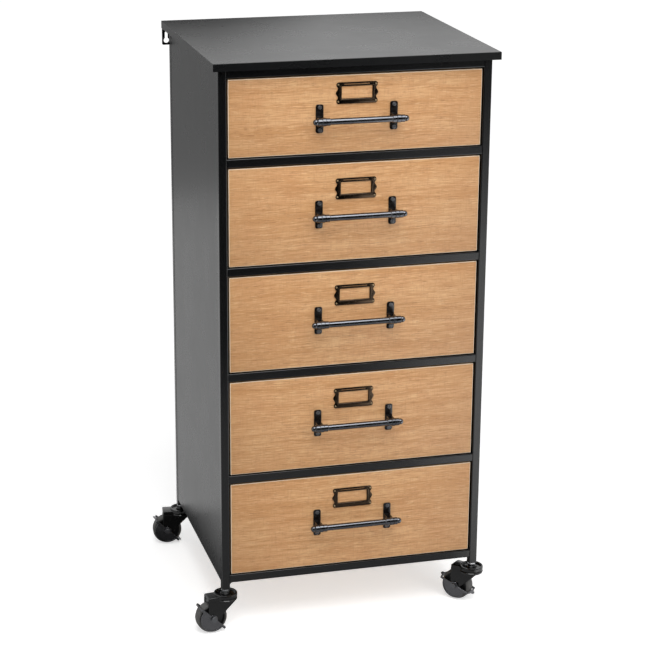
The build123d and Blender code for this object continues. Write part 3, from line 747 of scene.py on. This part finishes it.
def boltMesh(place):
    s = boltSettings
    bm = bmesh.new()
    seat = s["seat"]
    across = place @ Matrix.Rotation(math.radians(90), 4, "Z")
    addTurned(bm, [(-seat, 0), (-seat, s["radius"]), (seat, s["radius"]), (seat, 0)], across, steps=24)
    hexagon = circle(s["width"] / math.sqrt(3), 6)
    for start in (-seat - s["head"], seat):
        stand = place @ Matrix.Translation((0, (start + s["head"]) * mm, 0)) @ upright
        addPlate(bm, [hexagon], s["head"], s["headEdge"], stand)
    return bm


for corner, (name, tilt) in casterSettings.items():
    stemPoint = Vector(joints[f"{name}_swivel"]["pos_m"])
    axlePoint = Vector(joints[f"{name}_roll"]["pos_m"])
    heading = math.atan2(axlePoint.y - stemPoint.y, axlePoint.x - stemPoint.x)
    turn = Matrix.Rotation(heading, 4, "Z")
    stand = Matrix.Translation((stemPoint.x, stemPoint.y, 0)) @ turn
    hub = Matrix.Translation(axlePoint) @ turn
    trail = (axlePoint - stemPoint).to_2d().length / mm
    bm = forkMesh(trail, axlePoint.z / mm)
    bmesh.ops.transform(bm, matrix=stand, verts=bm.verts)
    finishPiece(f"caster_{corner}_stampedFork", bm, [coats["caster_metal"]],
                f"caster_{corner}_swivel", f"caster_{corner}_fork")
    finishPiece(f"caster_{corner}_axleBolt", boltMesh(hub), [blackened],
                f"caster_{corner}_swivel", f"caster_{corner}_axle")
    finishPiece(f"caster_{corner}_tyredWheel", wheelMesh(hub), [coats["caster_plastic"], tread],
                f"caster_{corner}_roller", f"caster_{corner}_wheel")
    tipped = hub @ Matrix.Rotation(-math.radians(tilt), 4, "Y")
    finishPiece(f"caster_{corner}_footLever", leverMesh(tipped), [phosphated],
                f"caster_{corner}_lever", f"caster_{corner}_brake")
print("casters made")

# weld fillets where the front bottom rail meets the posts above the feet
weldSettings = {"radius": 5.4, "depth": 9, "edge": 0.3}
low, high = [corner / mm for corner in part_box("front_bottom_rail")]
bm = bmesh.new()
for sign, edgeX in ((1, low.x), (-1, high.x)):
    r = weldSettings["radius"]
    fillet = [(0, 0), (r, 0)] + arc((r, -r), r, 90, 180, 8)[1:-1] + [(0, -r)]
    outline = [(sign * x, z) for x, z in fillet]
    stand = Matrix.Translation(Vector((edgeX, (low.y + high.y + weldSettings["depth"]) / 2, low.z)) * mm)
    addPlate(bm, [outline], weldSettings["depth"], weldSettings["edge"], stand @ upright)
finishPiece("frontCornerWelds", bm, [coats["frame_steel"]], "carcass")
print("welds made")

# camera matched to the photograph
cameraSettings = {
    "lens": 113.785, "sensor": 36, "eye": (-0.8558, -3.1143, 1.4787),
    "turn": 15.386, "tilt": 17.773, "roll": 0.425,
}
camera = linked("camera", bpy.data.cameras.new("camera"))
camera.data.lens = cameraSettings["lens"]
camera.data.sensor_width = cameraSettings["sensor"]
turned = Matrix.Rotation(-math.radians(cameraSettings["turn"]), 4, "Z")
tilted = Matrix.Rotation(math.radians(90 - cameraSettings["tilt"]), 4, "X")
rolled = Matrix.Rotation(math.radians(cameraSettings["roll"]), 4, "Z")
camera.matrix_world = Matrix.Translation(cameraSettings["eye"]) @ turned @ tilted @ rolled
bpy.context.scene.camera = camera


def directRays(tree):
    # 1 for what the camera sees, straight or in a reflection, and 0 for light that only fills
    path = addNode(tree, "ShaderNodeLightPath").outputs
    seen = addNode(tree, "ShaderNodeMath", {"operation": "MAXIMUM"},
                   {0: path["Is Camera Ray"], 1: path["Is Glossy Ray"]})
    return addNode(tree, "ShaderNodeMath", {"operation": "MAXIMUM"},
                   {0: seen.outputs["Value"], 1: path["Is Transmission Ray"]}).outputs["Value"]


# pale floor: white to the camera, with the object's soft shadow; it glows more far off, to meet the backdrop
stageSettings = {
    "reach": 12, "floor": "#f2f2f2", "rough": 0.9, "near": 1.2, "far": 3.5, "nearGlow": 0.56, "farGlow": 0.67,
}
floorMesh = bpy.data.meshes.new("floor")
reach = stageSettings["reach"]
floorCorners = [(-reach, -reach, 0), (reach, -reach, 0), (reach, reach, 0), (-reach, reach, 0)]
floorMesh.from_pydata(floorCorners, [], [(0, 1, 2, 3)])
paleFloor, tree, shader = newMaterial("paleFloor")
shader.inputs["Base Color"].default_value = hexColor(stageSettings["floor"])
shader.inputs["Roughness"].default_value = stageSettings["rough"]
shader.inputs["Specular IOR Level"].default_value = 0
shader.inputs["Emission Color"].default_value = (1, 1, 1, 1)
shown = directRays(tree)
spot = addNode(tree, "ShaderNodeTexCoord").outputs["Object"]
away = addNode(tree, "ShaderNodeVectorMath", {"operation": "LENGTH"}, {0: spot})
rise = addNode(tree, "ShaderNodeMapRange",
               {"From Min": stageSettings["near"], "From Max": stageSettings["far"],
                "To Min": stageSettings["nearGlow"], "To Max": stageSettings["farGlow"]},
               {"Value": away.outputs["Value"]})
glow = addNode(tree, "ShaderNodeMath", {"operation": "MULTIPLY"},
               {0: shown, 1: rise.outputs["Result"]})
tree.links.new(glow.outputs["Value"], shader.inputs["Emission Strength"])
floorMesh.materials.append(paleFloor)
floor = linked("floor", floorMesh)

# studio cards that only reflections see, each with its glow and its corners in metres: black and dim ones
# keep the front, the top's rear, the side's upper end and the casters dark, and a bright one on the right
# lights the right post
cardLift, underLift = 0.002, 0.003


def laid(points, lift=cardLift):
    # corners of a card that lies just above the floor
    return [(x, y, lift) for x, y in points]


cardSettings = {
    "frontFloorCard": (0, laid([(-6, -1.3), (0.45, -1.3), (1.0, -3.1), (5, -3.3), (6, -11), (-6, -11)])),
    "nearFloorCard": (0.5, laid([(-3, -0.3), (0.2, -0.3), (0.45, -1.3), (-3, -1.3)])),
    "frontCard": (0, [(-6, -4.4, cardLift), (5, -4.4, cardLift), (5, -4.4, 7), (-6, -4.4, 7)]),
    "rightFloorCard": (2.5, laid([(0.28, -0.3), (0.6, -1.3), (0.95, -2.5), (2.2, -2.5), (2, -0.3)])),
    "rearCard": (0, [(-1.2, 0.6, 0.93), (0.7, 0.6, 0.93), (0.7, 0.6, 1.005), (0.4, 0.6, 1.005),
                     (0.16, 0.6, 0.99), (-0.05, 0.6, 1.05), (-1.2, 0.6, 1.07)]),
    "casterFloorCard": (0.45, laid([(-0.3, -0.45), (0.25, -0.45), (0.25, -0.08), (-0.3, -0.08)], underLift)),
    # painted shadow: a near-black card under the chest, seen only in reflections, stands in for the chest's shadow
    # on the floor and keeps the rear casters dark
    "underFloorCard": (0.05, laid([(-0.3, -0.08), (0.25, -0.08), (0.25, 0.3), (-0.3, 0.3)], underLift)),
    "leftFloorCard": (0.65, laid([(-4, -0.3), (-0.23, -0.3), (-0.23, 2.6), (-4, 2.6)])),
    "farFloorCard": (0.3, laid([(-4, 2.6), (-0.1, 2.6), (-0.1, 10), (-4, 10)])),
}
for name, (level, points) in cardSettings.items():
    cardTone, tree, shader = newMaterial(name)
    shader.inputs["Base Color"].default_value = hexColor("#000000")
    shader.inputs["Specular IOR Level"].default_value = 0
    shader.inputs["Emission Color"].default_value = (1, 1, 1, 1)
    shader.inputs["Emission Strength"].default_value = level
    mesh = bpy.data.meshes.new(name)
    mesh.from_pydata(points, [], [tuple(range(len(points)))])
    mesh.materials.append(cardTone)
    card = linked(name, mesh)
    card.visible_camera = card.visible_diffuse = card.visible_shadow = card.visible_transmission = False

# studio light: white world to the camera and in reflections, softer fill, a key from the upper right
# and a softbox overhead
lightSettings = {
    "fill": 0.4,
    "boxes": {
        "keyLight": {"width": 1.4, "length": 1.4, "watts": 18, "shine": False,
                     "place": (1.1, -2.7, 1.8), "aim": (0, 0, 0.5)},
        "overheadLight": {"width": 1.6, "length": 1.7, "watts": 38, "shine": True,
                          "place": (-0.1, -1.2, 2.3), "aim": (0, -0.4, 0.6)},
    },
}
world = bpy.data.worlds.new("studio")
bpy.context.scene.world = world
world.use_nodes = True
tree = world.node_tree
backdrop = tree.nodes["Background"]
level = addNode(tree, "ShaderNodeMapRange", {"To Min": lightSettings["fill"], "To Max": 1},
                {"Value": directRays(tree)})
tree.links.new(level.outputs["Result"], backdrop.inputs["Strength"])
backdrop.inputs["Color"].default_value = (1, 1, 1, 1)
for name, box in lightSettings["boxes"].items():
    lamp = linked(name, bpy.data.lights.new(name, "AREA"))
    lamp.data.shape = "RECTANGLE"
    lamp.data.size, lamp.data.size_y = box["width"], box["length"]
    lamp.data.energy = box["watts"]
    lamp.visible_glossy = box["shine"]
    lamp.location = box["place"]
    lamp.rotation_euler = (Vector(box["aim"]) - Vector(box["place"])).to_track_quat("-Z", "Y").to_euler()
bpy.context.scene.view_settings.view_transform = "Standard"
print("stage, camera and light set")
